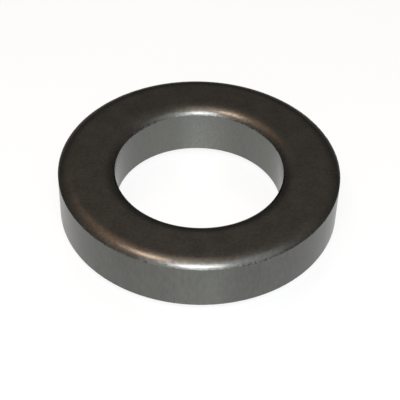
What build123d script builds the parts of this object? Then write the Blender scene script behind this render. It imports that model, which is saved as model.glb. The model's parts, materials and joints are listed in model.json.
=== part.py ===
from build123d import *
import math
import os

# Ferrite ring core, pressed from powder between two punches in a round die, then sintered: one plain piece.
# It lies on its lower face. Millimetres, +Z along the ring's axis, origin at the centre of the lower face.

# The die and its core rod form the two straight walls
outer_diameter = 61.0
bore_diameter = 36.6

# The punches form the two flat faces, this far apart
height = 12.7

# Each punch is dished at its rims, which rounds the ring's edges. Such a rounding runs out smoothly into the
# flat face, and stops short at the wall in a crease, this far below the face.
outer_rounding_radius = 4.6
outer_rounding_depth = 1.2
bore_rounding_radius = 4.0
bore_rounding_depth = 1.45


def rounding_reach(radius, depth):
    """How far in from the wall a rounding meets the flat face, for an arc tangent to that face."""
    return math.sqrt(depth * (2 * radius - depth))


def edge_rounding(wall_radius, outward, face_z, into_ring, radius, depth):
    """One pressed rounding of the section, drawn from the face to the crease.

    outward is 1 on the outside of the ring and -1 at the bore. into_ring is the way from the face into the
    ring along Z: 1 at the lower face and -1 at the upper.
    """
    on_face = (wall_radius - outward * rounding_reach(radius, depth), face_z)
    at_crease = (wall_radius, face_z + into_ring * depth)
    TangentArc(on_face, at_crease, tangent=(outward, 0))
    return on_face, at_crease


def face_outline(face_z, into_ring):
    """A pressed face with a rounding at each side; returns its outer crease and its bore crease."""
    outer_flat, outer_crease = edge_rounding(
        outer_diameter / 2, 1, face_z, into_ring, outer_rounding_radius, outer_rounding_depth
    )
    bore_flat, bore_crease = edge_rounding(
        bore_diameter / 2, -1, face_z, into_ring, bore_rounding_radius, bore_rounding_depth
    )
    Line(bore_flat, outer_flat)
    return outer_crease, bore_crease


def ring_section():
    """The ring's section in the XZ plane: two pressed faces joined by the straight outer wall and bore wall."""
    with BuildSketch(Plane.XZ) as section:
        with BuildLine():
            lower_outer_crease, lower_bore_crease = face_outline(0, 1)
            upper_outer_crease, upper_bore_crease = face_outline(height, -1)
            Line(lower_outer_crease, upper_outer_crease)
            Line(lower_bore_crease, upper_bore_crease)
        make_face()
    return section.sketch


def ferrite_core():
    """The whole ring, its section turned once round the axis."""
    return revolve(ring_section(), axis=Axis.Z)


os.makedirs("parts", exist_ok=True)
export_step(ferrite_core(), "parts/ferrite_core.step")
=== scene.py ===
import json
import math
import random

import bmesh
import bpy
from mathutils import Matrix, Vector, noise
from mathutils.kdtree import KDTree


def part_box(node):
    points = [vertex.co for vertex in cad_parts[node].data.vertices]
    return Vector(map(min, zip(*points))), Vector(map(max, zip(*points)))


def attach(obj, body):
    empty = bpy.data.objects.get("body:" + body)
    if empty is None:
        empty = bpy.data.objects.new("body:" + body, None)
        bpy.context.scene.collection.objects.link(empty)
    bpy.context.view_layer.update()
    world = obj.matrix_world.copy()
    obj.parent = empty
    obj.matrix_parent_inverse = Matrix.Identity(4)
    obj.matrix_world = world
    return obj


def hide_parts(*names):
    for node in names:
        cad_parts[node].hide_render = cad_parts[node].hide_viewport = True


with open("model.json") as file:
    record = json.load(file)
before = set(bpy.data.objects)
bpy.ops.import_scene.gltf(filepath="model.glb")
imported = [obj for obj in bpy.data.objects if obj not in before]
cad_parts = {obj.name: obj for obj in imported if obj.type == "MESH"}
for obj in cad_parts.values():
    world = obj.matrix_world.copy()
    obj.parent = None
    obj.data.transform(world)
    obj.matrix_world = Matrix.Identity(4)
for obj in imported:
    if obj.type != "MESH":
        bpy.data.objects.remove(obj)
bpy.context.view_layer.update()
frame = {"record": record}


# The ring core: one piece of black ferrite, powder pressed between two punches in a round die and then fired.
# Its faces and edge roundings carry the punches' finish, and its two walls were drawn along the die as the
# ring was pushed out. A rounding stops at the wall in a crease, which comes out a little ragged and chipped.

mounts = {mount["name"]: mount["dims"] for mount in frame["record"]["mounts"] if mount["dims"]}
millimetre = 0.001
outer_radius = mounts["outer_wall"]["r_mm"] * millimetre
bore_radius = mounts["bore"]["r_mm"] * millimetre
lower_corner, upper_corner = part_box("ferrite_core")
lower_face_z = lower_corner.z
upper_face_z = upper_corner.z
height = upper_face_z - lower_face_z
outer_rounding_depth = (height - mounts["outer_wall"]["length_mm"] * millimetre) / 2
bore_rounding_depth = (height - mounts["bore"]["length_mm"] * millimetre) / 2
outer_rounding_radius = 4.6 * millimetre
bore_rounding_radius = 4.0 * millimetre

steps_round_ring = 1200
sectors = 12
steps_over_rounding = 7
steps_near_crease = 5
share_near_crease = 0.2
beside_rounding = 0.4 * millimetre
beside_crease = [distance * millimetre for distance in (0.12, 0.24, 0.38, 0.55, 0.80)]
merge_distance = 0.01 * millimetre


def draw_rounding(section, wall_radius, outward, face_z, into_ring, radius, depth):
    """One rounding of the section, from its end on the flat face to the crease, with finer steps near it.

    outward is 1 on the outside of the ring and -1 at the bore. into_ring is the way from the face into the
    ring along Z: 1 at the lower face and -1 at the upper.
    """
    reach = math.sqrt(depth * (2 * radius - depth))
    on_face = section.verts.new((wall_radius - outward * reach, 0, face_z))
    whole_turn = math.acos(1 - depth / radius)
    stretches = ((1 - share_near_crease, steps_over_rounding), (share_near_crease, steps_near_crease))
    reached = on_face
    for share, steps in stretches:
        turned = bmesh.ops.spin(
            section,
            geom=[reached],
            cent=(on_face.co.x, 0, face_z + into_ring * radius),
            axis=(0, -outward * into_ring, 0),
            angle=whole_turn * share,
            steps=steps,
        )
        reached = turned["geom_last"][0]
    return on_face, reached


def draw_line(section, start, end, stops):
    """A straight line of the section, with a vertex at each stop. A stop is a distance from either end."""
    whole = end.co - start.co
    reached = start
    for distance in stops + [whole.length - stop for stop in reversed(stops)]:
        halfway = section.verts.new(start.co + whole.normalized() * distance)
        section.edges.new((reached, halfway))
        reached = halfway
    section.edges.new((reached, end))


def draw_face(section, face_z, into_ring):
    """A flat face with its two roundings; returns its outer crease and its bore crease."""
    outer_flat, outer_crease = draw_rounding(
        section, outer_radius, 1, face_z, into_ring, outer_rounding_radius, outer_rounding_depth
    )
    bore_flat, bore_crease = draw_rounding(
        section, bore_radius, -1, face_z, into_ring, bore_rounding_radius, bore_rounding_depth
    )
    draw_line(section, bore_flat, outer_flat, [beside_rounding])
    return outer_crease, bore_crease


ring = bmesh.new()
lower_outer_crease, lower_bore_crease = draw_face(ring, lower_face_z, 1)
upper_outer_crease, upper_bore_crease = draw_face(ring, upper_face_z, -1)
draw_line(ring, lower_outer_crease, upper_outer_crease, beside_crease)
draw_line(ring, lower_bore_crease, upper_bore_crease, beside_crease)

# One sector is spun and then copied round, because a full spin in so many fine steps takes very long
sector_turn = 2 * math.pi / sectors
bmesh.ops.spin(
    ring,
    geom=ring.verts[:] + ring.edges[:],
    cent=(0, 0, 0),
    axis=(0, 0, 1),
    angle=sector_turn,
    steps=steps_round_ring // sectors,
)
bmesh.ops.spin(
    ring,
    geom=ring.verts[:] + ring.edges[:] + ring.faces[:],
    cent=(0, 0, 0),
    axis=(0, 0, 1),
    angle=2 * math.pi - sector_turn,
    steps=sectors - 1,
    use_duplicate=True,
)
bmesh.ops.remove_doubles(ring, verts=ring.verts[:], dist=merge_distance)
bmesh.ops.recalc_face_normals(ring, faces=ring.faces[:])

# The pressed faces, the outer wall and the bore wall each have their own finish, and meet in sharp creases.
# The bore wall's finish has a lighter shine than the outer wall's, which is painted light.
pressed_slot = 0
outer_wall_slot = 1
bore_wall_slot = 2
upright_within = 0.05
between_walls = (outer_radius + bore_radius) / 2
for face in ring.faces:
    face.smooth = True
    if abs(face.normal.z) > upright_within:
        face.material_index = pressed_slot
    elif face.calc_center_median().xy.length > between_walls:
        face.material_index = outer_wall_slot
    else:
        face.material_index = bore_wall_slot
for edge in ring.edges:
    edge.smooth = len({face.material_index for face in edge.link_faces}) == 1

# Each crease wavers down its wall, has small scoops broken out of it, and is scuffed on both sides. All of
# these grow where the die had worn. Wear goes from 0 to 1.
crease_waver = 0.03 * millimetre
worn_waver = 0.11 * millimetre
waver_length = 0.6 * millimetre
waver_reach = 0.5 * millimetre
waver_octaves = 3
waver_contrast = 3
waver_clean_part = 0.75
scuff_reach = 1.0 * millimetre

chip_spacing = 2.0 * millimetre
worn_spacing = 0.45 * millimetre
uneven_spacing = (0.3, 2.2)
chip_chance = 0.15
extra_chance_when_worn = 0.75
chip_radii_mm = (0.25, 0.6)
least_chip_depth_mm = 0.01
most_chip_depth_mm = 0.04
extra_depth_when_worn_mm = 0.05
chip_slopes_in_degrees = (10, 32)
chip_dullness = (0.4, 1)
dull_margin = 0.10 * millimetre
draws = random.Random(11)

broken = ring.verts.layers.float.new("broken")
scuffed = ring.verts.layers.float.new("scuffed")


def wear_at(azimuth, worn_places):
    """How worn the die was there. A place has its azimuth and half width in degrees, and its most wear."""
    wear = 0
    for place, half_width, most_wear in worn_places:
        aside = (azimuth - place + 180) % 360 - 180
        wear = max(wear, most_wear * math.exp(-((aside / half_width) ** 2)))
    return wear


def rag_crease(crease_radius, outward, crease_z, upward, worn_places):
    """Wavers, scuffs and chips one crease. upward is the way from the crease to its flat face, along Z."""
    near = []
    for vertex in ring.verts:
        from_crease = Vector((vertex.co.xy.length - crease_radius, vertex.co.z - crease_z)).length
        if from_crease < scuff_reach:
            near.append((vertex, from_crease))
    for vertex, from_crease in near:
        azimuth = math.degrees(math.atan2(vertex.co.y, vertex.co.x))
        wear = wear_at(azimuth, worn_places)
        depth = crease_waver + (worn_waver - crease_waver) * wear
        round_wall = Vector((vertex.co.x, vertex.co.y, crease_z)) / waver_length
        rough = waver_contrast * noise.turbulence(round_wall, waver_octaves, True) - waver_clean_part
        ragged = max(0, min(1, rough))
        vertex.co.z -= upward * depth * ragged * max(0, 1 - from_crease / waver_reach)
        vertex[scuffed] = wear * (1 - from_crease / scuff_reach)
    tree = KDTree(len(near))
    for index, (vertex, from_crease) in enumerate(near):
        tree.insert(vertex.co, index)
    tree.balance()
    azimuth = 0
    while azimuth < 360:
        wear = wear_at(azimuth, worn_places)
        spacing = chip_spacing + (worn_spacing - chip_spacing) * wear
        azimuth += math.degrees(spacing / crease_radius) * draws.uniform(*uneven_spacing)
        if draws.random() > chip_chance + extra_chance_when_worn * wear:
            continue
        chip_radius = draws.uniform(*chip_radii_mm) * millimetre
        deepest_mm = most_chip_depth_mm + extra_depth_when_worn_mm * wear
        chip_depth = draws.uniform(least_chip_depth_mm, deepest_mm) * millimetre
        chip_slope = math.radians(draws.uniform(*chip_slopes_in_degrees))
        dullness = draws.uniform(*chip_dullness)
        turn = math.radians(azimuth)
        level = Vector((math.cos(turn), math.sin(turn), 0))
        on_crease = level * crease_radius + Vector((0, 0, crease_z))
        away = level * outward * math.cos(chip_slope) + Vector((0, 0, upward * math.sin(chip_slope)))
        centre = on_crease + away * (chip_radius - chip_depth)
        for place, index, distance in tree.find_range(centre, chip_radius + dull_margin):
            vertex = near[index][0]
            vertex[broken] = dullness
            from_centre = vertex.co - centre
            if from_centre.length < chip_radius:
                vertex.co = centre + from_centre.normalized() * chip_radius


# The worn places of each crease: azimuth and half width in degrees, and the most wear there
worn_outside = ((228, 19, 0.85), (248, 5, 0.7), (293, 9, 0.6), (318, 18, 0.6), (120, 25, 1), (20, 20, 1))
worn_at_bore = ((140, 24, 1), (45, 22, 1), (250, 30, 1))
worn_outside_below = ((80, 30, 1),)
worn_at_bore_below = ((265, 30, 1),)
rag_crease(outer_radius, 1, upper_face_z - outer_rounding_depth, 1, worn_outside)
rag_crease(bore_radius, -1, upper_face_z - bore_rounding_depth, 1, worn_at_bore)
rag_crease(outer_radius, 1, lower_face_z + outer_rounding_depth, -1, worn_outside_below)
rag_crease(bore_radius, -1, lower_face_z + bore_rounding_depth, -1, worn_at_bore_below)

ring_mesh = bpy.data.meshes.new("ring_core")
ring.to_mesh(ring_mesh)
ring.free()
ring_core = bpy.data.objects.new("ring_core", ring_mesh)
bpy.context.scene.collection.objects.link(ring_core)

# A pit's radii are shares of the spacing, and times_rougher compares with the clean surface
cloud_size = 4 * millimetre
grain_size = 0.6 * millimetre
scuff_size = 0.5 * millimetre
scuff_height = 0.03 * millimetre
pit_spacing = 2.4 * millimetre
pit_floor_radius = 0.03
pit_rim_radius = 0.08
pit_depth_in_grains = 1.5
# How much darker the pits are painted: painted shade in them.
pit_painted_shade = 0.6
broken_shine = (0.085, 0.083, 0.078)
cloud_share = 0.35
grain_share = 0.65
grain_times_rougher = (0.95, 1.05)
broken_times_rougher = 2.4
scuffed_times_rougher = 1.5
relief_strength = 0.5
noise_roughness = 0.6
middle_of_noise = (0.3, 0.7)
narrow_middle_of_noise = (0.4, 0.6)


def ferrite(name, shine, edge_shine, roughness, mottling, grain_height, grain_stretch, cloud_stretch):
    """Fired ferrite: a black oxide with the dull shine of a metal, grained and clouded, with small pits
    painted darker.

    It is duller where a scoop is broken out, and mottled where it is scuffed. shine is the colour it mirrors
    head on, and edge_shine how much of it is left at a glancing angle. roughness runs from clear to cloudy
    places. A stretch is how many times longer than wide the grain or the clouds are along Z.
    """
    material = bpy.data.materials.new(name)
    material.use_nodes = True
    nodes = material.node_tree.nodes
    links = material.node_tree.links
    shader = nodes["Principled BSDF"]
    shader.inputs["Metallic"].default_value = 1.0
    shader.inputs["Specular Tint"].default_value = (edge_shine, edge_shine, edge_shine, 1)
    where = nodes.new("ShaderNodeTexCoord").outputs["Object"]

    def pattern(stretch, size, detail):
        """Noise with features about as large as the size, drawn out along Z by the stretch."""
        drawn_out = nodes.new("ShaderNodeMapping")
        drawn_out.inputs["Scale"].default_value = (1, 1, 1 / stretch)
        links.new(where, drawn_out.inputs["Vector"])
        cells = nodes.new("ShaderNodeTexNoise")
        cells.inputs["Scale"].default_value = 1 / size
        cells.inputs["Detail"].default_value = detail
        cells.inputs["Roughness"].default_value = noise_roughness
        links.new(drawn_out.outputs["Vector"], cells.inputs["Vector"])
        return cells.outputs["Fac"]

    def spread(value, part, over):
        """Stretches a part of a value's range, from its low to its high end, over another range."""
        ranged = nodes.new("ShaderNodeMapRange")
        ranged.inputs["From Min"].default_value = part[0]
        ranged.inputs["From Max"].default_value = part[1]
        ranged.inputs["To Min"].default_value = over[0]
        ranged.inputs["To Max"].default_value = over[1]
        links.new(value, ranged.inputs["Value"])
        return ranged.outputs["Result"]

    def combine(operation, first, second):
        """Two values added or multiplied."""
        both = nodes.new("ShaderNodeMath")
        both.operation = operation
        links.new(first, both.inputs[0])
        links.new(second, both.inputs[1])
        return both.outputs["Value"]

    def blend(share, first, second):
        """From the first colour to the second by the share. A colour is a socket or three numbers."""
        mixed = nodes.new("ShaderNodeMix")
        mixed.data_type = "RGBA"
        for socket, colour in (("A", first), ("B", second)):
            if isinstance(colour, tuple):
                mixed.inputs[socket].default_value = colour + (1,)
            else:
                links.new(colour, mixed.inputs[socket])
        links.new(share, mixed.inputs["Factor"])
        return mixed.outputs["Result"]

    def bump(height_value, distance):
        """Relief that is as high as the distance at full strength."""
        relief = nodes.new("ShaderNodeBump")
        relief.inputs["Strength"].default_value = relief_strength
        relief.inputs["Distance"].default_value = distance
        links.new(height_value, relief.inputs["Height"])
        return relief

    clouds = pattern(cloud_stretch, cloud_size, detail=2)
    grain = pattern(grain_stretch, grain_size, detail=4)
    dots = nodes.new("ShaderNodeTexVoronoi")
    dots.inputs["Scale"].default_value = 1 / pit_spacing
    links.new(where, dots.inputs["Vector"])
    pits = spread(dots.outputs["Distance"], (pit_floor_radius, pit_rim_radius), (1, 0))
    scooped = nodes.new("ShaderNodeAttribute")
    scooped.attribute_name = "broken"
    rubbed = nodes.new("ShaderNodeAttribute")
    rubbed.attribute_name = "scuffed"
    blotches = spread(pattern(1, scuff_size, detail=2), narrow_middle_of_noise, (0, 1))
    scuffs = combine("MULTIPLY", blotches, rubbed.outputs["Fac"])

    mottled = blend(
        combine(
            "ADD",
            spread(clouds, middle_of_noise, (0, cloud_share)),
            spread(grain, middle_of_noise, (0, grain_share)),
        ),
        tuple((1 - mottling) * part for part in shine),
        tuple((1 + mottling) * part for part in shine),
    )
    # The pits are painted darker, as painted shade in them.
    pitted_with_painted_shade = blend(pits, mottled, tuple(pit_painted_shade * part for part in shine))
    links.new(blend(scooped.outputs["Fac"], pitted_with_painted_shade, broken_shine), shader.inputs["Base Color"])

    clouded = spread(clouds, middle_of_noise, roughness)
    grained = combine("MULTIPLY", clouded, spread(grain, middle_of_noise, grain_times_rougher))
    chipped = combine(
        "MULTIPLY", grained, spread(scooped.outputs["Fac"], (0, 1), (1, broken_times_rougher))
    )
    roughened = combine("MULTIPLY", chipped, spread(scuffs, (0, 1), (1, scuffed_times_rougher)))
    links.new(roughened, shader.inputs["Roughness"])

    grain_and_pits = combine("ADD", grain, spread(pits, (0, 1), (0, -pit_depth_in_grains)))
    relief = bump(grain_and_pits, grain_height)
    dents = bump(scuffs, scuff_height)
    links.new(relief.outputs["Normal"], dents.inputs["Normal"])
    links.new(dents.outputs["Normal"], shader.inputs["Normal"])
    return material


pressed_ferrite = ferrite(
    "pressed_ferrite",
    shine=(0.140, 0.140, 0.138),
    edge_shine=0.35,
    roughness=(0.28, 0.31),
    mottling=0.25,
    grain_height=0.0015 * millimetre,
    grain_stretch=1,
    cloud_stretch=1,
)
outer_wall_ferrite = ferrite(
    "outer_wall_ferrite",
    shine=(0.112, 0.114, 0.107),
    edge_shine=0.9,
    roughness=(0.27, 0.34),
    mottling=0.15,
    grain_height=0.003 * millimetre,
    grain_stretch=3,
    cloud_stretch=5,
)
# Painted light: the bore wall shines lighter than the outer wall, standing in for the brighter floor it
# mirrors.
bore_wall_ferrite_painted_lighter = ferrite(
    "bore_wall_ferrite_painted_lighter",
    shine=(0.134, 0.137, 0.128),
    edge_shine=0.9,
    roughness=(0.24, 0.30),
    mottling=0.07,
    grain_height=0.003 * millimetre,
    grain_stretch=3,
    cloud_stretch=5,
)
for finish in (pressed_ferrite, outer_wall_ferrite, bore_wall_ferrite_painted_lighter):
    ring_mesh.materials.append(finish)

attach(ring_core, "root")
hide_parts("ferrite_core")


# The floor: a wide sheet of white paper with a satin coating, which the ring lies on. It keeps the ring's
# shadow and is nearly white round it and in its gloss. Its white is painted dimmer far out, a painted
# fall-off of the lamps' light. Its coat throws the light of the key lamp up at the walls, as a pale band in
# the back of the bore.

floor_radius = 3.0
floor_sides = 96
floor_gap = 0.02 * millimetre
floor_shape = bmesh.new()
bmesh.ops.create_circle(floor_shape, cap_ends=True, radius=floor_radius, segments=floor_sides)
bmesh.ops.translate(floor_shape, verts=floor_shape.verts[:], vec=(0, 0, lower_face_z - floor_gap))
floor_mesh = bpy.data.meshes.new("floor")
floor_shape.to_mesh(floor_mesh)
floor_shape.free()
floor = bpy.data.objects.new("floor", floor_mesh)
bpy.context.scene.collection.objects.link(floor)

paper_colour = (0.84, 0.87, 0.94, 1)
bright_radius = 0.12
dim_radius = 0.60
bright_white = 1.0
dim_white = 0.50
share_shown_evenly = 0.85
coat_colour = (0.20, 0.20, 0.20, 1)
coat_roughness = 0.27


def white_paper():
    """Satin white paper, most of its white shown evenly to the camera and in gloss, painted dimmer far from
    the ring.
    """
    paper = bpy.data.materials.new("white_paper")
    paper.use_nodes = True
    nodes = paper.node_tree.nodes
    links = paper.node_tree.links
    nodes.clear()
    matt = nodes.new("ShaderNodeBsdfDiffuse")
    matt.inputs["Color"].default_value = paper_colour

    where = nodes.new("ShaderNodeTexCoord").outputs["Object"]
    from_ring = nodes.new("ShaderNodeVectorMath")
    from_ring.operation = "LENGTH"
    links.new(where, from_ring.inputs[0])
    # The evenly shown white is painted dimmer from bright_radius out to dim_radius: a painted fall-off of
    # light.
    painted_falloff = nodes.new("ShaderNodeMapRange")
    painted_falloff.interpolation_type = "SMOOTHSTEP"
    painted_falloff.inputs["From Min"].default_value = bright_radius
    painted_falloff.inputs["From Max"].default_value = dim_radius
    painted_falloff.inputs["To Min"].default_value = bright_white
    painted_falloff.inputs["To Max"].default_value = dim_white
    links.new(from_ring.outputs["Value"], painted_falloff.inputs["Value"])
    even = nodes.new("ShaderNodeEmission")
    links.new(painted_falloff.outputs["Result"], even.inputs["Strength"])

    ray = nodes.new("ShaderNodeLightPath")
    seen = nodes.new("ShaderNodeMath")
    seen.operation = "ADD"
    links.new(ray.outputs["Is Camera Ray"], seen.inputs[0])
    links.new(ray.outputs["Is Glossy Ray"], seen.inputs[1])
    seen_through = nodes.new("ShaderNodeMath")
    seen_through.operation = "ADD"
    seen_through.use_clamp = True
    links.new(seen.outputs["Value"], seen_through.inputs[0])
    links.new(ray.outputs["Is Transmission Ray"], seen_through.inputs[1])
    share = nodes.new("ShaderNodeMath")
    share.operation = "MULTIPLY"
    share.inputs[1].default_value = share_shown_evenly
    links.new(seen_through.outputs["Value"], share.inputs[0])
    shown = nodes.new("ShaderNodeMixShader")
    links.new(share.outputs["Value"], shown.inputs["Fac"])
    links.new(matt.outputs["BSDF"], shown.inputs[1])
    links.new(even.outputs["Emission"], shown.inputs[2])

    coat = nodes.new("ShaderNodeBsdfGlossy")
    coat.inputs["Color"].default_value = coat_colour
    coat.inputs["Roughness"].default_value = coat_roughness
    coated = nodes.new("ShaderNodeAddShader")
    links.new(shown.outputs["Shader"], coated.inputs[0])
    links.new(coat.outputs["BSDF"], coated.inputs[1])
    output = nodes.new("ShaderNodeOutputMaterial")
    links.new(coated.outputs["Shader"], output.inputs["Surface"])
    return paper


floor_mesh.materials.append(white_paper())


# The light: soft lamps close over the ring, as in a small tabletop studio, in a room that is dim and a little
# warm above, darker at the sides, and as pale as the far end of the paper along the horizon.

ring_centre = Vector((0, 0, (lower_face_z + upper_face_z) / 2))


def soft_lamp(name, place, size, colour, brightness):
    """A flat rectangular lamp at a place in metres, turned to the ring. Its brightness is its face's own."""
    lamp = bpy.data.lights.new(name, "AREA")
    lamp.shape = "RECTANGLE"
    lamp.size, lamp.size_y = size
    lamp.color = colour
    lamp.energy = brightness * math.pi * lamp.size * lamp.size_y
    lamp_object = bpy.data.objects.new(name, lamp)
    bpy.context.scene.collection.objects.link(lamp_object)
    lamp_object.location = place
    lamp_object.rotation_euler = (ring_centre - Vector(place)).to_track_quat("-Z", "Y").to_euler()
    lamp_object.visible_camera = False


# The key lamp makes the white highlight on both roundings, and the warm lamp the coppery one beside it
soft_lamp("key_lamp", (0, -0.1173, 0.2012), (0.084, 0.046), (0.97, 0.98, 1.0), 19.0)
soft_lamp("side_fill", (0.060, -0.085, 0.155), (0.170, 0.115), (0.90, 1.0, 0.96), 0.76)
soft_lamp("overhead_softbox", (-0.015, -0.008, 0.268), (0.145, 0.118), (1.0, 0.82, 0.65), 0.72)
soft_lamp("warm_lamp", (-0.091, -0.036, 0.290), (0.046, 0.046), (1.0, 0.73, 0.52), 19.0)
soft_lamp("left_fill", (-0.105, 0.042, 0.198), (0.165, 0.095), (1.0, 0.50, 0.25), 0.36)
soft_lamp("front_softbox", (-0.030, -0.330, 0.230), (0.400, 0.250), (0.92, 1.0, 0.90), 1.2)

# The room's colours, and how high above the horizon each change begins and ends, as the sine of the elevation
side_of_room = (0.080, 0.074, 0.066, 1)
top_of_room = (0.245, 0.214, 0.176, 1)
far_paper = (0.473, 0.471, 0.464, 1)
top_begins = 0.10
top_full = 0.75
far_paper_ends = 0.01
room_full = 0.14

world = bpy.data.worlds.new("warm_room")
bpy.context.scene.world = world
world.use_nodes = True
world_nodes = world.node_tree.nodes
world_links = world.node_tree.links
direction = world_nodes.new("ShaderNodeTexCoord").outputs["Generated"]
split = world_nodes.new("ShaderNodeSeparateXYZ")
world_links.new(direction, split.inputs["Vector"])
rising = world_nodes.new("ShaderNodeMapRange")
rising.interpolation_type = "SMOOTHSTEP"
rising.inputs["From Min"].default_value = top_begins
rising.inputs["From Max"].default_value = top_full
world_links.new(split.outputs["Z"], rising.inputs["Value"])
room = world_nodes.new("ShaderNodeMix")
room.data_type = "RGBA"
room.inputs["A"].default_value = side_of_room
room.inputs["B"].default_value = top_of_room
world_links.new(rising.outputs["Result"], room.inputs["Factor"])
above_horizon = world_nodes.new("ShaderNodeMapRange")
above_horizon.interpolation_type = "SMOOTHSTEP"
above_horizon.inputs["From Min"].default_value = far_paper_ends
above_horizon.inputs["From Max"].default_value = room_full
world_links.new(split.outputs["Z"], above_horizon.inputs["Value"])
surroundings = world_nodes.new("ShaderNodeMix")
surroundings.data_type = "RGBA"
surroundings.inputs["A"].default_value = far_paper
world_links.new(room.outputs["Result"], surroundings.inputs["B"])
world_links.new(above_horizon.outputs["Result"], surroundings.inputs["Factor"])
world_links.new(surroundings.outputs["Result"], world_nodes["Background"].inputs["Color"])


# The camera: a long lens about 0.27 m from the ring, which looks down on it and is a little rolled, as when
# the photograph was taken.

camera_place = Vector((0.00035, -0.19782, 0.18786))
camera_pitch_down = math.radians(43.22)
camera_roll = math.radians(1.66)
camera_data = bpy.data.cameras.new("camera")
camera_data.sensor_width = 36
camera_data.lens = 110.05
camera_data.clip_start = 0.01
camera = bpy.data.objects.new("camera", camera_data)
bpy.context.scene.collection.objects.link(camera)
camera.matrix_world = (
    Matrix.Translation(camera_place)
    @ Matrix.Rotation(math.pi / 2 - camera_pitch_down, 4, "X")
    @ Matrix.Rotation(camera_roll, 4, "Z")
)
bpy.context.scene.camera = camera
bpy.context.scene.view_settings.view_transform = "Standard"
